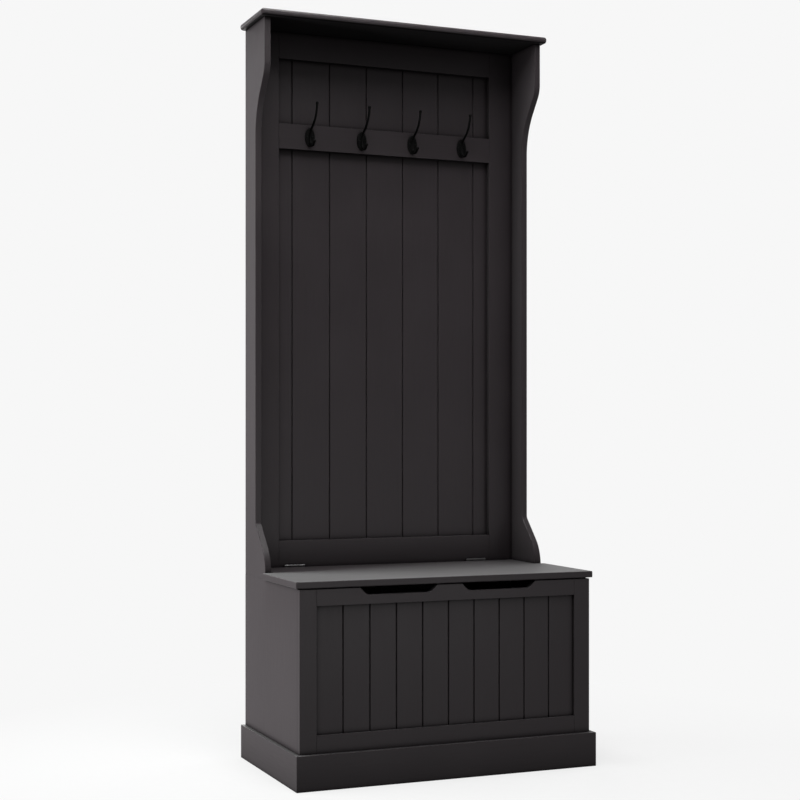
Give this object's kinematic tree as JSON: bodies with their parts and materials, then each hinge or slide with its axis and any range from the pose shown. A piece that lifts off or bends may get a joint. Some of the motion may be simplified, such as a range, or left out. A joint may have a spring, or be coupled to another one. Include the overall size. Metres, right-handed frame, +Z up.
{
  "type": "hall tree",
  "caption": "Tall hall tree in charcoal paint: a storage bench with a hinged lid, shaped uprights, a framed grooved back, a top board and a rail of double coat hooks.",
  "frame": {"origin": "on the floor, under the middle of the overall width and depth", "axes": "+Z up; +Y from the front towards the wall behind it; +X to the right of a person facing its front"},
  "size_m": [0.802, 0.447, 1.906],
  "materials": {
    "charcoal_paint": "satin charcoal-black paint on wood-based board, with slight wear on its edges",
    "black_iron": "satin black iron",
    "hinge_steel": "dull dark zinc-plated steel",
    "beech_dowel": "bare beech"
  },
  "bodies": {
    "cabinet": {"back_bottom_cleat": "charcoal_paint", "back_bottom_rail": "charcoal_paint", "back_grooved_panel": "charcoal_paint", "back_left_stile": "charcoal_paint", "back_right_stile": "charcoal_paint", "back_top_rail": "charcoal_paint", "bench_back_panel": "charcoal_paint", "bench_bottom_panel": "charcoal_paint", "bench_left_side": "charcoal_paint", "bench_right_side": "charcoal_paint", "coat_hook_1": "black_iron", "coat_hook_1_left_screw": "black_iron", "coat_hook_1_right_screw": "black_iron", "coat_hook_2": "black_iron", "coat_hook_2_left_screw": "black_iron", "coat_hook_2_right_screw": "black_iron", "coat_hook_3": "black_iron", "coat_hook_3_left_screw": "black_iron", "coat_hook_3_right_screw": "black_iron", "coat_hook_4": "black_iron", "coat_hook_4_left_screw": "black_iron", "coat_hook_4_right_screw": "black_iron", "front_bottom_cleat": "charcoal_paint", "front_bottom_rail": "charcoal_paint", "front_grooved_panel": "charcoal_paint", "front_left_stile": "charcoal_paint", "front_plinth": "charcoal_paint", "front_right_stile": "charcoal_paint", "front_top_rail": "charcoal_paint", "hook_rail": "charcoal_paint", "left_bottom_cleat": "charcoal_paint", "left_foot_front_dowel": "beech_dowel", "left_foot_rear_dowel": "beech_dowel", "left_head_front_dowel": "beech_dowel", "left_head_rear_dowel": "beech_dowel", "left_hinge_frame_leaf": "hinge_steel", "left_hinge_frame_left_screw": "hinge_steel", "left_hinge_frame_right_screw": "hinge_steel", "left_hinge_pin": "hinge_steel", "left_plinth": "charcoal_paint", "left_upright": "charcoal_paint", "right_bottom_cleat": "charcoal_paint", "right_foot_front_dowel": "beech_dowel", "right_foot_rear_dowel": "beech_dowel", "right_head_front_dowel": "beech_dowel", "right_head_rear_dowel": "beech_dowel", "right_hinge_frame_leaf": "hinge_steel", "right_hinge_frame_left_screw": "hinge_steel", "right_hinge_frame_right_screw": "hinge_steel", "right_hinge_pin": "hinge_steel", "right_plinth": "charcoal_paint", "right_upright": "charcoal_paint", "top_board": "charcoal_paint"},
    "lid": {"bench_lid": "charcoal_paint", "left_hinge_lid_leaf": "hinge_steel", "left_hinge_lid_left_screw": "hinge_steel", "left_hinge_lid_right_screw": "hinge_steel", "right_hinge_lid_leaf": "hinge_steel", "right_hinge_lid_left_screw": "hinge_steel", "right_hinge_lid_right_screw": "hinge_steel"}
  },
  "joints": [
    {"name": "lid_hinge", "type": "hinge", "parent": "cabinet", "child": "lid", "pos_m": [0, 0.19625, 0.496], "axis": [-1, 0, 0], "range_deg": [0, 66]}
  ]
}
